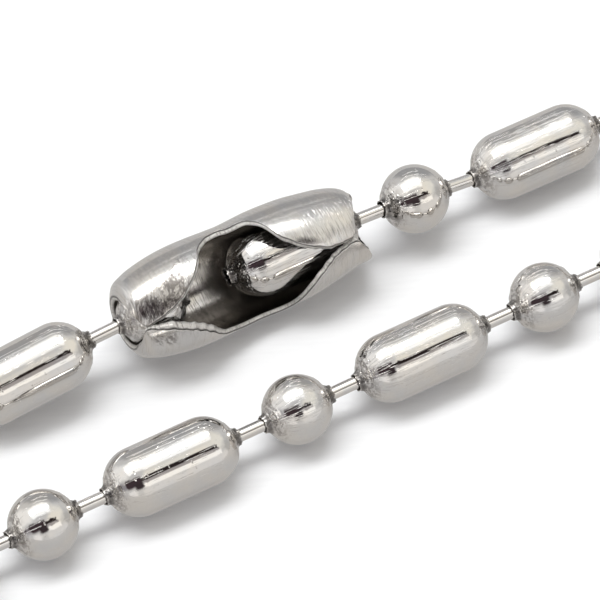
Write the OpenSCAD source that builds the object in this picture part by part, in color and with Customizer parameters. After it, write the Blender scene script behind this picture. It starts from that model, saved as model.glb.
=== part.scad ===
// Ball chain necklace: hollow round and bar beads in turn on short headed pins,
// closed by a pressed sheet connector, lying flat as one whole loop.

/* [Necklace] */
// Length of the whole closed loop, rounded to full pairs of beads
necklace_len = 600; // [560:10:620]
// Distance between the axes of the two strands where they run side by side
strand_gap = 5.8; // [5.4:0.1:9]

/* [Beads] */
// Diameter of the round and the bar beads
bead_d = 2.4; // [2.2:0.05:2.5]
// Length of a bar bead's body, without its necks
bar_len = 4.9; // [4:0.1:6]
// Thickness of the beads' sheet
bead_wall = 0.2; // [0.12:0.02:0.24]
// Length of the neck that stands out of each end of a bead
neck_len = 0.15; // [0.1:0.05:0.3]
// Thickness of the neck's ring
neck_wall = 0.08; // [0.06:0.01:0.16]

/* [Pins] */
// Diameter of the pins' wire
pin_d = 0.42; // [0.36:0.02:0.5]
// Bare wire between the necks of two beads
pin_gap = 0.955; // [0.7:0.005:1.4]
// Clearance round the wire inside a neck
pin_clearance = 0.15; // [0.14:0.01:0.2]
// How far a pin's head is wider than a neck's bore, on its diameter
head_hold = 0.16; // [0.1:0.02:0.24]
// Thickness of a pin's head
head_len = 0.16; // [0.1:0.02:0.24]
// Slack of a pin's head behind a bead's wall
head_slack = 0.3; // [0.25:0.05:0.35]

/* [Connector] */
// Length of the connector
connector_len = 9.3; // [9.2:0.1:10.4]
// Widest diameter of the connector
connector_d = 3.66; // [3.6:0.02:4]
// Thickness of the connector's sheet
connector_wall = 0.16; // [0.12:0.02:0.2]
// Angle of the window's middle above the surface
window_tilt = 38; // [0:1:90]
// How far the round bead's body stands out of its mouth
round_proud = 0.13; // [0:0.01:0.14]
// Depth of the bar bead's body behind its mouth
bar_depth = 0.21; // [0.1:0.01:0.5]

/* [Layout] */
// Radius of the small round end of the loop
small_bend_r = 18; // [18:1:26]
// Radius of the two bends that open the strands towards the small end
small_blend_r = 30; // [20:1:40]
// Radius of the large round end of the loop
large_bend_r = 50; // [40:1:54]
// Radius of the two bends that open the strands towards the large end
large_blend_r = 70; // [60:1:80]
// Distance from the connector's middle to the start of the small end's bends
connector_to_bend = 18.35; // [14:0.05:24]
// Length over which the chain comes down from the connector to the surface
settle_len = 5.5; // [4:0.5:10]

/* [Hidden] */
$fn = 64;

// Shape of the connector from the round bead's mouth to the bar bead's: place along it as a share
// of its half length, radius as a share of its widest radius
connector_profile = [
    [-1.00, 0.54], [-0.95, 0.745], [-0.88, 0.83], [-0.79, 0.90], [-0.63, 0.97], [-0.47, 1.00],
    [-0.30, 0.995], [-0.05, 0.965], [0.20, 0.99], [0.45, 0.965], [0.61, 0.91], [0.77, 0.84],
    [0.88, 0.755], [0.94, 0.67], [1.00, 0.56],
];

// Window seen square on: place as above, then its lower and upper edge as shares of the widest
// radius. It narrows to a slit each way, and each slit opens into a notch in the rim.
window_profile = [
    [-1.06, -0.62, 0.50], [-1.00, -0.46, 0.29], [-0.95, -0.09, 0.01], [-0.85, -0.15, 0.03],
    [-0.72, -0.29, 0.14], [-0.59, -0.46, 0.34], [-0.48, -0.63, 0.54], [-0.40, -0.78, 0.72],
    [-0.33, -0.88, 0.89], [-0.22, -0.91, 0.955], [-0.05, -0.93, 0.935], [0.11, -0.945, 0.94],
    [0.19, -0.95, 0.83], [0.26, -0.93, 0.56], [0.38, -0.67, 0.26], [0.48, -0.45, 0.12],
    [0.62, -0.24, -0.01], [0.80, -0.16, -0.04], [0.87, -0.31, 0.31], [0.94, -0.52, 0.56],
    [1.00, -0.62, 0.62], [1.06, -0.70, 0.70],
];

// Height of the window's long edges above the connector's axis, as a share of its widest radius
window_floor = 0.2;

bead_r = bead_d / 2;
cavity_r = bead_r - bead_wall;
bore_r = pin_d / 2 + pin_clearance;
neck_r = bore_r + neck_wall;
round_half = bead_r + neck_len;
bar_half = bar_len / 2 + neck_len;
pitch = 2 * (round_half + bar_half + pin_gap);

// Pins turn about the middle of a neck's bore, and their heads sit behind the bead's wall
bore_len = neck_len + bead_r - sqrt(cavity_r * cavity_r - bore_r * bore_r);
pivot_depth = bore_len / 2;
pin_depth = bore_len + head_slack + head_len;
pin_len = pin_gap + 2 * pin_depth;
head_r = bore_r + head_hold / 2;

// Middles of the two beads held in the connector, from the connector's middle
connector_r = connector_d / 2;
round_seat = connector_len / 2 + round_proud - bead_r;
bar_seat = connector_len / 2 - bar_depth - bar_len / 2;

// Whole loop, in full pairs of beads
pairs = round((necklace_len - round_seat - bar_seat) / pitch + 0.5);
loop_len = round_seat + bar_seat + (pairs - 0.5) * pitch;

// An end of the loop: each strand swings out by open_angle, then both meet round the bend
function open_angle(blend_r, bend_r) = acos((blend_r + strand_gap / 2) / (blend_r + bend_r));
function arc_len(r, angle) = r * angle * PI / 180;
function end_len(blend_r, bend_r) =
    let (open = open_angle(blend_r, bend_r)) 2 * arc_len(blend_r, open) + arc_len(bend_r, 180 + 2 * open);
function end_reach(blend_r, bend_r) = (blend_r + bend_r) * sin(open_angle(blend_r, bend_r)) + bend_r;

straight_len = (loop_len - end_len(small_blend_r, small_bend_r) - end_len(large_blend_r, large_bend_r)) / 2;

// The middle of the whole loop is the origin, which places the connector's middle
small_reach = connector_to_bend + end_reach(small_blend_r, small_bend_r);
large_reach = straight_len - connector_to_bend + end_reach(large_blend_r, large_bend_r);
connector_x = (small_reach - large_reach) / 2;
connector_y = strand_gap / 2;

// One end of the loop as stretches of length and radius; a radius under 0 turns right
function end_route(blend_r, bend_r) =
    let (open = open_angle(blend_r, bend_r), blend = [arc_len(blend_r, open), blend_r])
    [blend, [arc_len(bend_r, 180 + 2 * open), -bend_r], blend];

// Route from the connector's middle round the whole loop; a radius of 0 is straight
route = concat(
    [[straight_len - connector_to_bend, 0]],
    end_route(large_blend_r, large_bend_r),
    [[straight_len, 0]],
    end_route(small_blend_r, small_bend_r),
    [[connector_to_bend, 0]]
);

// Moves a state [x, y, heading] along one stretch
function travel(at, len, r) =
    r == 0 ? [at.x + len * cos(at[2]), at.y + len * sin(at[2]), at[2]]
    : let (turned = at[2] + len / r * 180 / PI)
        [at.x + r * (sin(turned) - sin(at[2])), at.y - r * (cos(turned) - cos(at[2])), turned];

// State of the route at a distance from the connector's middle
function route_at(s, i = 0, at = [connector_x, connector_y, 0]) =
    i == len(route) - 1 || s <= route[i][0] ? travel(at, s, route[i][1])
    : route_at(s - route[i][0], i + 1, travel(at, route[i][0], route[i][1]));

// Height of the chain's line: the connector's axis inside it, a bead's radius on the surface
function smooth_step(t) = let (c = min(max(t, 0), 1)) c * c * (3 - 2 * c);
function height_at(s) =
    let (outside = min(s, loop_len - s) - connector_len / 2)
    connector_r + (bead_r - connector_r) * smooth_step(outside / settle_len);

function chain_point(s) = let (at = route_at(s)) [at.x, at.y, height_at(s)];

function bar_at(i) = bar_seat + i * pitch;
function round_at(i) = bar_at(i) + pitch / 2;

// Point on a bead's axis where a pin turns, at the end of the bead that side names
function pivot(middle, half, side) =
    let (near = chain_point(middle + side * half), far = chain_point(middle - side * half))
    near + pivot_depth * (far - near) / norm(far - near);

// Stands a part that is modelled along Z midway between two points
module stand_between(a, b) {
    d = b - a;
    translate((a + b) / 2) rotate([0, acos(d.z / norm(d)), atan2(d.y, d.x)]) children();
}

// Section of a bead: a shell with a straight part of length mid, a neck at each end and a bore
module bead_section(mid) {
    module capsule(r) {
        if (mid > 0) square([2 * r, mid], center = true);
        for (side = mid > 0 ? [-1, 1] : [0]) translate([0, side * mid / 2]) circle(r);
    }
    intersection() {
        difference() {
            union() {
                capsule(bead_r);
                square([2 * neck_r, mid + 2 * (bead_r + neck_len)], center = true);
            }
            capsule(cavity_r);
            square([2 * bore_r, mid + 4 * bead_r], center = true);
        }
        translate([0, -mid - 2 * bead_r]) square([2 * bead_r, 2 * mid + 4 * bead_r]);
    }
}

module bead(middle, half) {
    stand_between(chain_point(middle - half), chain_point(middle + half))
        rotate_extrude() bead_section(2 * (half - neck_len) - bead_d);
}

module link_pin(a, b) {
    stand_between(a, b) {
        cylinder(h = pin_len, d = pin_d, center = true);
        for (side = [-1, 1])
            translate([0, 0, side * (pin_len - head_len) / 2]) cylinder(h = head_len, r = head_r, center = true);
    }
}

module round_beads() {
    color("silver")
        for (i = [0 : pairs - 1]) bead(round_at(i), round_half);
}

module bar_beads() {
    color("silver")
        for (i = [0 : pairs - 1]) bead(bar_at(i), bar_half);
}

// A pin on each side of every round bead, but none through the connector
module link_pins() {
    color("gainsboro")
        for (i = [0 : pairs - 1]) {
            link_pin(pivot(bar_at(i), bar_half, 1), pivot(round_at(i), round_half, -1));
            if (i < pairs - 1) link_pin(pivot(round_at(i), round_half, 1), pivot(bar_at(i + 1), bar_half, -1));
        }
}

// Smooth curve through the rows of a table, with steps points a row
function spline_point(a, b, c, d, t) =
    0.5 * (2 * b + (c - a) * t + (2 * a - 5 * b + 4 * c - d) * t * t + (3 * b - a - 3 * c + d) * t * t * t);
function spline(rows, steps) = let (last = len(rows) - 1) [
    for (i = [0 : last - 1], k = [0 : steps - 1])
        spline_point(rows[max(i - 1, 0)], rows[i], rows[i + 1], rows[min(i + 2, last)], k / steps),
    rows[last],
];
function reversed(list) = [for (i = [len(list) - 1 : -1 : 0]) list[i]];

// The curve moved inwards, square to itself, by the sheet's thickness
function inset(points, depth) = let (last = len(points) - 1) [
    for (i = [0 : last])
        let (run = points[min(i + 1, last)] - points[max(i - 1, 0)])
        points[i] + depth * [run.y, -run.x] / norm(run),
];

module connector_shell() {
    outer = [for (p = spline(connector_profile, 2)) [p.x * connector_len / 2, p.y * connector_r]];
    wall = concat(outer, reversed(inset(outer, connector_wall)));
    rotate([0, 90, 0]) rotate_extrude() polygon([for (p = wall) [p.y, p.x]]);
}

// Prism that cuts the window, its slits and the notches, from the window's long edges outwards
module window_cutter() {
    rows = [for (p = spline(window_profile, 2)) [p.x * connector_len / 2, p.y * connector_r, p.z * connector_r]];
    edges = concat([for (p = rows) [p.x, p.y]], reversed([for (p = rows) [p.x, p.z]]));
    translate([0, 0, window_floor * connector_r]) linear_extrude(connector_d) polygon(edges);
}

module connector() {
    color("silver")
        translate([connector_x, connector_y, connector_r])
        rotate([90 - window_tilt, 0, 0])
        difference() {
            connector_shell();
            window_cutter();
        }
}

round_beads();
bar_beads();
link_pins();
connector();
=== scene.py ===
"""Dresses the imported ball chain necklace: polished steel beads, wire pins and a pressed connector."""
import logging
import math
from dataclasses import dataclass
from enum import Enum
from typing import Callable, Iterable, Sequence

import bpy
import numpy as np
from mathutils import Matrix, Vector


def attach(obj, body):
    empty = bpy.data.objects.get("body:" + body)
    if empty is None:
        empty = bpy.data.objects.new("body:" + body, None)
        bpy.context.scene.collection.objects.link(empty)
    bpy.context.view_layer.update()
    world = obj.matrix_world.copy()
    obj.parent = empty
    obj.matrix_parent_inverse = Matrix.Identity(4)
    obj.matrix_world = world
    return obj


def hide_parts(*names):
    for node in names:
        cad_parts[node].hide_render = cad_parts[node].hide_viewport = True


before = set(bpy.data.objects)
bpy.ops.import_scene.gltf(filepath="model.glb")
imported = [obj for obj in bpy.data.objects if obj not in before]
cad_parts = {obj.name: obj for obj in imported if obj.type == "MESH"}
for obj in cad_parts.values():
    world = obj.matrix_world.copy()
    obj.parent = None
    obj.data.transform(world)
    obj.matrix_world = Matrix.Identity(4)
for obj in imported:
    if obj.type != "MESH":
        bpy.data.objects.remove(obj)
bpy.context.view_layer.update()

LOG = logging.getLogger("necklace")
MM = 0.001
TURN = 2 * math.pi

Points = np.ndarray
# Where something is absent and where it is full
Stretch = tuple[float, float]
Triple = tuple[float, float, float]
Inputs = dict[str | int, object]
Material = bpy.types.Material
Socket = bpy.types.NodeSocket
Tree = bpy.types.NodeTree


def smooth_step(share: np.ndarray | float) -> np.ndarray | float:
    """Eases a share in and out, held between 0 and 1."""
    held = np.clip(share, 0.0, 1.0)
    return held * held * (3 - 2 * held)


def faded(place: np.ndarray | float, *ends: Stretch) -> np.ndarray | float:
    """Gives the share of something at a place, from ends that say where it is absent and where full."""
    return math.prod(smooth_step((place - none) / (full - none)) for none, full in ends)


def spline(rows: Sequence[Sequence[float]], steps: int) -> Points:
    """Draws a smooth curve through the rows of a table.

    Args:
        rows: The table, one point a row.
        steps: Points for each row.

    Returns:
        The curve's points, the last row included.
    """
    table = np.asarray(rows, float)
    last = len(table) - 1
    shares = np.arange(steps)[:, None] / steps
    curve = []
    for i in range(last):
        a, b, c, d = table[max(i - 1, 0)], table[i], table[i + 1], table[min(i + 2, last)]
        square, cube = 2 * a - 5 * b + 4 * c - d, 3 * b - a - 3 * c + d
        curve.append(0.5 * (2 * b + (c - a) * shares + square * shares**2 + cube * shares**3))
    return np.vstack([*curve, table[last:]])


@dataclass(frozen=True)
class ChainSizes:
    """Sizes of the chain in millimetres, as the solids have them."""

    necklace_len: float = 600.0
    strand_gap: float = 5.8
    bead_d: float = 2.4
    bar_len: float = 4.9
    neck_len: float = 0.15
    pin_d: float = 0.42
    pin_gap: float = 0.955
    pin_clearance: float = 0.15
    bead_wall: float = 0.2
    head_slack: float = 0.3
    head_len: float = 0.16
    connector_len: float = 9.3
    connector_d: float = 3.66
    connector_wall: float = 0.16
    window_tilt: float = 38.0
    round_proud: float = 0.13
    bar_depth: float = 0.21
    small_bend_r: float = 18.0
    small_blend_r: float = 30.0
    large_bend_r: float = 50.0
    large_blend_r: float = 70.0
    connector_to_bend: float = 18.35
    settle_len: float = 5.5

    @property
    def bead_r(self) -> float:
        """Radius of a bead."""
        return self.bead_d / 2

    @property
    def round_half(self) -> float:
        """Half length of a round bead with its necks."""
        return self.bead_r + self.neck_len

    @property
    def bar_half(self) -> float:
        """Half length of a bar bead with its necks."""
        return self.bar_len / 2 + self.neck_len

    @property
    def pitch(self) -> float:
        """Length of chain that a pair of beads takes."""
        return 2 * (self.round_half + self.bar_half + self.pin_gap)

    @property
    def bore_len(self) -> float:
        """Depth of a neck's bore through the bead's wall."""
        cavity_r = self.bead_r - self.bead_wall
        bore_r = self.pin_d / 2 + self.pin_clearance
        return self.neck_len + self.bead_r - math.sqrt(cavity_r**2 - bore_r**2)

    @property
    def pin_len(self) -> float:
        """Length of a pin with its two heads."""
        return self.pin_gap + 2 * (self.bore_len + self.head_slack + self.head_len)

    @property
    def bar_seat(self) -> float:
        """Distance of the held bar bead from the connector's middle."""
        return self.connector_len / 2 - self.bar_depth - self.bar_len / 2

    @property
    def round_seat(self) -> float:
        """Distance of the held round bead from the connector's middle."""
        return self.connector_len / 2 + self.round_proud - self.bead_r

    @property
    def pairs(self) -> int:
        """Number of pairs of beads."""
        return math.floor((self.necklace_len - self.round_seat - self.bar_seat) / self.pitch + 1)

    @property
    def loop_len(self) -> float:
        """Length of the whole closed loop."""
        return self.round_seat + self.bar_seat + (self.pairs - 0.5) * self.pitch


@dataclass(frozen=True)
class LoopEnd:
    """A round end of the loop: two blends that open the strands, and the bend between them."""

    blend_r: float
    bend_r: float
    strand_gap: float

    @property
    def opening(self) -> float:
        """Angle by which each strand swings out, in radians."""
        return math.acos((self.blend_r + self.strand_gap / 2) / (self.blend_r + self.bend_r))

    @property
    def length(self) -> float:
        """Length of chain in this end."""
        return 2 * self.blend_r * self.opening + self.bend_r * (math.pi + 2 * self.opening)

    @property
    def reach(self) -> float:
        """How far the end reaches past the side-by-side strands."""
        return (self.blend_r + self.bend_r) * math.sin(self.opening) + self.bend_r

    def stretches(self) -> list[tuple[float, float]]:
        """Stretches of the end, each a length and a radius that is under 0 for a right turn."""
        blend = (self.blend_r * self.opening, self.blend_r)
        return [blend, (self.bend_r * (math.pi + 2 * self.opening), -self.bend_r), blend]


class Route:
    """Line of the chain, from the connector's middle round the whole loop and back."""

    def __init__(self, sizes: ChainSizes) -> None:
        """Works out the stretches of the route.

        Args:
            sizes: Sizes of the chain.
        """
        self.sizes = sizes
        small = LoopEnd(sizes.small_blend_r, sizes.small_bend_r, sizes.strand_gap)
        large = LoopEnd(sizes.large_blend_r, sizes.large_bend_r, sizes.strand_gap)
        straight = (sizes.loop_len - small.length - large.length) / 2
        ahead = straight - sizes.connector_to_bend
        middle = (sizes.connector_to_bend + small.reach - ahead - large.reach) / 2
        self.start = (middle, sizes.strand_gap / 2, 0.0)
        first, last = (ahead, 0.0), (sizes.connector_to_bend, 0.0)
        self.stretches = [first, *large.stretches(), (straight, 0.0), *small.stretches(), last]

    @staticmethod
    def travel(state: Triple, length: float, radius: float) -> Triple:
        """Moves a state along one stretch.

        Args:
            state: Place x, place y and heading.
            length: Length of the stretch.
            radius: Its radius, 0 where it is straight.

        Returns:
            The state at its end.
        """
        x, y, heading = state
        if radius == 0:
            return x + length * math.cos(heading), y + length * math.sin(heading), heading
        after = heading + length / radius
        x += radius * (math.sin(after) - math.sin(heading))
        y -= radius * (math.cos(after) - math.cos(heading))
        return x, y, after

    def point(self, along: float) -> Points:
        """Gives a point of the chain's line.

        Args:
            along: Distance from the connector's middle.

        Returns:
            The point, with its height above the surface.
        """
        sizes = self.sizes
        state, rest = self.start, along
        for length, radius in self.stretches[:-1]:
            if rest <= length:
                break
            state, rest = self.travel(state, length, radius), rest - length
        else:
            radius = self.stretches[-1][1]
        x, y, _ = self.travel(state, rest, radius)
        outside = min(along, sizes.loop_len - along) - sizes.connector_len / 2
        axis_z = sizes.connector_d / 2
        z = axis_z + (sizes.bead_r - axis_z) * smooth_step(outside / sizes.settle_len)
        return np.array([x, y, float(z)])

    def bar_at(self, index: int) -> float:
        """Place along the chain of a bar bead's middle."""
        return self.sizes.bar_seat + index * self.sizes.pitch

    def round_at(self, index: int) -> float:
        """Place along the chain of a round bead's middle."""
        return self.bar_at(index) + self.sizes.pitch / 2

    def pivot(self, middle: float, half: float, side: int) -> Points:
        """Gives the point on a bead's axis where a pin turns, near the bead's end -1 or 1."""
        near, far = self.point(middle + side * half), self.point(middle - side * half)
        return near + self.sizes.bore_len / 2 * (far - near) / np.linalg.norm(far - near)


@dataclass(frozen=True)
class Place:
    """Where a turned part lies: the two points that its axis joins."""

    start: Points
    end: Points

    @property
    def centre(self) -> Points:
        """Point midway between the two ends."""
        return (self.start + self.end) / 2

    def axes(self) -> Points:
        """Gives the part's own axes as the rows of a matrix, the first along the part.

        Returns:
            Three unit vectors.
        """
        along = (self.end - self.start) / np.linalg.norm(self.end - self.start)
        side = np.cross([0.0, 0.0, 1.0], along)
        side /= np.linalg.norm(side)
        return np.stack([along, side, np.cross(along, side)])


def link_object(name: str, data: bpy.types.ID) -> bpy.types.Object:
    """Makes an object and links it to the scene.

    Args:
        name: Its name.
        data: Its mesh or camera.

    Returns:
        The object.
    """
    made = bpy.data.objects.new(name, data)
    bpy.context.scene.collection.objects.link(made)
    return made


# What the finishes read at every point of a mesh: places first, then shares
PLACES = ("grain", "spot")
MASKS = ("crimp", "cut", "seam", "inside", "wear")


@dataclass
class Surface:
    """A mesh in the making: points in millimetres, faces, and what the finishes read from them."""

    points: Points
    faces: Points
    grain: Points
    spot: Points
    crimp: Points | float = 0.0
    cut: Points | float = 0.0
    seam: Points | float = 0.0
    inside: Points | float = 0.0
    wear: Points | float = 0.0

    def __post_init__(self) -> None:
        """Spreads a mask that is one number over all the points."""
        for name in MASKS:
            setattr(self, name, np.broadcast_to(getattr(self, name), (len(self.points),)))

    @staticmethod
    def joined(surfaces: Sequence["Surface"]) -> "Surface":
        """Puts several surfaces into one.

        Args:
            surfaces: The surfaces.

        Returns:
            One surface that holds them all.
        """
        starts = np.cumsum([0] + [len(s.points) for s in surfaces[:-1]])
        faces = np.vstack([np.where(s.faces < 0, -1, s.faces + start) for s, start in zip(surfaces, starts)])
        names = ("points", *PLACES, *MASKS)
        rest = {name: np.concatenate([getattr(s, name) for s in surfaces]) for name in names}
        return Surface(faces=faces, **rest)

    def piece(self, name: str, material: Material) -> bpy.types.Object:
        """Makes the Blender object.

        Args:
            name: Name of the piece.
            material: Its finish.

        Returns:
            The object, linked to the scene.
        """
        mesh = bpy.data.meshes.new(name)
        quads = self.faces[self.faces[:, 3] >= 0]
        fans = self.faces[self.faces[:, 3] < 0][:, :3]
        corners = np.concatenate([quads.ravel(), fans.ravel()]).astype(np.int32)
        sides = np.concatenate([np.full(len(quads), 4), np.full(len(fans), 3)])
        mesh.vertices.add(len(self.points))
        mesh.vertices.foreach_set("co", (self.points * MM).astype(np.float32).ravel())
        mesh.loops.add(len(corners))
        mesh.loops.foreach_set("vertex_index", corners)
        mesh.polygons.add(len(sides))
        mesh.polygons.foreach_set("loop_start", (np.cumsum(sides) - sides).astype(np.int32))
        mesh.polygons.foreach_set("use_smooth", np.ones(len(sides), bool))
        for labels, kind, key in ((PLACES, "FLOAT_VECTOR", "vector"), (MASKS, "FLOAT", "value")):
            for label in labels:
                values = mesh.attributes.new(label, kind, "POINT")
                values.data.foreach_set(key, getattr(self, label).astype(np.float32).ravel())
        mesh.update(calc_edges=True)
        mesh.validate()
        mesh.materials.append(material)
        return link_object(name, mesh)


def ring_faces(rings: int, segments: int, closed: bool) -> Points:
    """Joins rings of points, one after the other, with quads.

    Args:
        rings: Number of rings.
        segments: Points in a ring.
        closed: Whether the last ring joins the first one.

    Returns:
        The faces, four point numbers each.
    """
    ring, column = np.meshgrid(np.arange(rings if closed else rings - 1), np.arange(segments), indexing="ij")
    start, above = ring * segments, (ring + 1) % rings * segments
    beside = (column + 1) % segments
    return np.stack([start + column, start + beside, above + beside, above + column], -1).reshape(-1, 4)


def turned(along: Points, radius: Points | float, angle: Points) -> Points:
    """Places points along and round the first axis, one a row."""
    grids = np.broadcast_arrays(along, radius * np.cos(angle), radius * np.sin(angle))
    return np.stack(grids, -1).reshape(-1, 3)


def angles_round(segments: int) -> Points:
    """Gives the angles of even points round a part, as one row."""
    return np.linspace(0, TURN, segments, endpoint=False)[None, :]


@dataclass(frozen=True)
class Waves:
    """A kind of uneven relief: how often each wave goes round, its height, and its twist a millimetre."""

    rounds: tuple[int, ...]
    height: float
    twist: float


class Ripple:
    """Uneven relief on a part: waves of one kind, each with a drawn phase, twist and height."""

    least_share = 0.4

    def __init__(self, rng: np.random.Generator, kind: Waves) -> None:
        """Draws the waves.

        Args:
            rng: Source of the draws.
            kind: The kind of relief.
        """
        count = len(kind.rounds)
        phases = rng.uniform(0, TURN, count)
        twists = rng.normal(0, kind.twist, count)
        shares = rng.uniform(self.least_share, 1.0, count)
        heights = kind.height * shares / np.sqrt((shares**2).sum())
        self.waves = list(zip(kind.rounds, phases, twists, heights))

    def at(self, angle: Points, along: Points) -> Points:
        """Gives the relief at points of the surface.

        Args:
            angle: Angle round the part.
            along: Place along it.

        Returns:
            The height at each point.
        """
        total = np.zeros(np.broadcast(angle, along).shape)
        for rounds, phase, twist, height in self.waves:
            total = total + height * np.sin(rounds * angle + phase + twist * along)
        return total


NECK_FOLDS = Waves((3, 5, 7, 9, 12, 16), 0.023, 7.0)
NECK_RINGS = Waves((1, 2, 3, 4, 5), 0.018, 26.0)
NECK_LIP = Waves((2, 3, 5, 8, 13), 0.021, 0.0)
BEAD_DENTS = Waves((2, 3, 4, 5), 0.0014, 2.4)
PIN_SWAY = Waves((0, 0), 0.006, 1.4)
PIN_DENTS = Waves((2, 3), 0.0012, 0.8)
SHEET_DENTS = Waves((1, 2, 3, 4), 0.008, 0.5)
EDGE_WAVES = Waves((0, 0, 0), 0.018, 2.6)
CUT_JAGS = Waves((0,) * 8, 0.022, 16.0)


class Detail(Enum):
    """How finely a bead is drawn: points round it, points over a dome, and rings on a straight part."""

    NEAR = (96, 30, 12)
    FAR = (30, 9, 1)


# A neck from the dome to the bore. Distance past the bead's own radius and radius, both in
# millimetres, then how much it ripples, whether it is inside, and how much painted shade darkens
# it in the crease and the bore
NECK_TABLE = (
    (-0.088, 0.452, 1.0, 0, 0.0), (-0.055, 0.400, 1.0, 0, 0.30), (-0.010, 0.360, 1.0, 0, 0.75),
    (0.045, 0.330, 1.0, 0, 0.90), (0.095, 0.316, 1.0, 0, 0.75), (0.130, 0.318, 1.0, 0, 0.30),
    (0.148, 0.310, 1.0, 0, 0.0), (0.150, 0.298, 1.0, 0, 0.0), (0.140, 0.285, 0.25, 0, 1.0),
    (0.105, 0.268, 0.25, 1, 1.0), (0.000, 0.262, 0.25, 1, 1.0), (-0.120, 0.262, 0.25, 1, 1.0),
    (-0.200, 0.270, 0.25, 1, 1.0),
)
# Largest shift of a part's grain in its texture, so that no two parts look the same
GRAIN_SHIFT = 40.0


@dataclass(frozen=True)
class Bead:
    """A hollow bead with a crimped neck at each end."""

    sizes: ChainSizes
    straight: float
    detail: Detail
    foot_r: float = 0.52
    cavity_foot_r: float = 0.275
    cavity_coarseness: int = 4
    least_cavity_steps: int = 4
    gathered: Stretch = (0.74, 1.08)
    fold_fade: Stretch = (-0.054, 0.846)
    lip_width: float = 0.02
    lip_calm: float = 0.4
    spot_stretch: Triple = (2.2, 1.0, 1.0)

    def section(self) -> Points:
        """Draws the wall's section, from the left cavity over the outside to the right cavity.

        Returns:
            A row a point: place, radius, how much it ripples, whether it is inside, and how much painted
                shade darkens it in the crease and the hollow.
        """
        _, dome_steps, straight_steps = self.detail.value
        outer_r, inner_r = self.sizes.bead_r, self.sizes.bead_r - self.sizes.bead_wall
        half = self.straight / 2
        right: list[tuple[float, ...]] = []
        for turn in np.linspace(math.asin(self.foot_r / outer_r), math.pi / 2, dome_steps)[::-1]:
            x = outer_r * math.cos(turn)
            right.append((half + x, outer_r * math.sin(turn), float(faded(x, self.gathered)), 0.0, 0.0))
        right += [(half + outer_r + past, *rest) for past, *rest in NECK_TABLE]
        cavity_steps = max(self.least_cavity_steps, dome_steps // self.cavity_coarseness)
        for turn in np.linspace(math.asin(self.cavity_foot_r / inner_r), math.pi / 2, cavity_steps):
            right.append((half + inner_r * math.cos(turn), inner_r * math.sin(turn), 0.0, 1.0, 1.0))
        left = [(-x, *rest) for x, *rest in reversed(right)]
        if self.straight == 0:
            return np.array([*left[:-1], *right[:-1]])
        between = np.linspace(-half, half, straight_steps + 2)[1:-1]
        return np.array([*left, *((x, outer_r, 0.0, 0.0, 0.0) for x in between), *right])

    def build(self, place: Place, rng: np.random.Generator, wear: float) -> Surface:
        """Turns one bead and puts it in its place.

        Args:
            place: Where the bead lies.
            rng: Source of its small irregularities.
            wear: How scratched it is, where 1 is well worn.

        Returns:
            The bead's surface.
        """
        segments = self.detail.value[0]
        angle = angles_round(segments)
        along, radius, ripple, inside, crease = (column[:, None] for column in self.section().T)
        side = np.sign(along)
        folds = [Ripple(rng, NECK_FOLDS) for _ in range(2)]
        rings = [Ripple(rng, NECK_RINGS) for _ in range(2)]
        lift = Ripple(rng, BEAD_DENTS).at(angle, along) * (1 - inside)
        for way, fold, ring in zip((-1.0, 1.0), folds, rings):
            relief = fold.at(angle, along) + ring.at(angle, along)
            lift = lift + ripple * (side == way) * relief * faded(radius, self.fold_fade)
        lip = np.abs(along) > self.straight / 2 + self.sizes.bead_r - self.lip_width
        x = along + side * lip * ripple * Ripple(rng, NECK_LIP).at(angle, along)
        local = turned(x, radius + lift * (1 - self.lip_calm * lip), angle)
        shift = rng.uniform(-GRAIN_SHIFT, GRAIN_SHIFT, 3)
        # The second mask is painted shade in the neck's crease and the hollow
        crimp, seam, hidden = (np.repeat(mask, segments) for mask in (ripple, crease, inside))
        return Surface(
            points=local @ place.axes() + place.centre, faces=ring_faces(len(along), segments, True),
            grain=turned(along, self.sizes.bead_r, angle) + shift, spot=local * self.spot_stretch + shift,
            crimp=crimp, seam=seam, inside=hidden, wear=wear,
        )


@dataclass(frozen=True)
class Pin:
    """A straight wire with a flat head at each end."""

    sizes: ChainSizes
    wire_r: float = 0.222
    head_r: float = 0.40
    corner: float = 0.02
    wire_rows: int = 9
    sway_rise: float = 0.5
    wear: float = 0.5

    def section(self) -> Points:
        """Draws the pin's outline from the left head to the right one.

        Returns:
            A row a point: place and radius.
        """
        half = self.sizes.pin_len / 2
        bare, soft = half - self.sizes.head_len, self.corner
        right = [(x, self.wire_r) for x in np.linspace(0, bare - soft, self.wire_rows)[1:]]
        right += [(bare, self.wire_r + soft), (bare, self.head_r - soft), (bare + soft, self.head_r)]
        right += [(half - soft, self.head_r), (half, self.head_r - soft)]
        return np.array([*((-x, r) for x, r in reversed(right)), (0.0, self.wire_r), *right])

    def build(self, place: Place, rng: np.random.Generator, segments: int) -> Surface:
        """Turns one pin and puts it in its place.

        Args:
            place: The pin's two ends.
            rng: Source of its small irregularities.
            segments: Points round the wire.

        Returns:
            The pin's surface.
        """
        angle = angles_round(segments)
        along, radius = (column[:, None] for column in self.section().T)
        bend = Ripple(rng, PIN_SWAY)
        r = radius + Ripple(rng, PIN_DENTS).at(angle, along)
        sway = bend.at(0 * angle, along) * np.cos(math.pi * along / self.sizes.pin_len)
        local = turned(along, r, angle)
        local += np.stack([0 * sway, sway, self.sway_rise * sway], -1).reshape(-1, 3)
        count, ring = len(local), np.arange(segments)
        beside, last = (ring + 1) % segments, count - segments
        fans = [
            np.stack(np.broadcast_arrays(*corners, -1), -1)
            for corners in ((count, beside, ring), (count + 1, last + ring, last + beside))
        ]
        pole = [self.sizes.pin_len / 2, 0.0, 0.0]
        local = np.vstack([local, np.negative(pole), pole])
        grain = local + rng.uniform(-GRAIN_SHIFT, GRAIN_SHIFT, 3)
        faces = np.vstack([ring_faces(len(along), segments, False), *fans])
        return Surface(local @ place.axes() + place.centre, faces, grain, grain, wear=self.wear)


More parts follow.
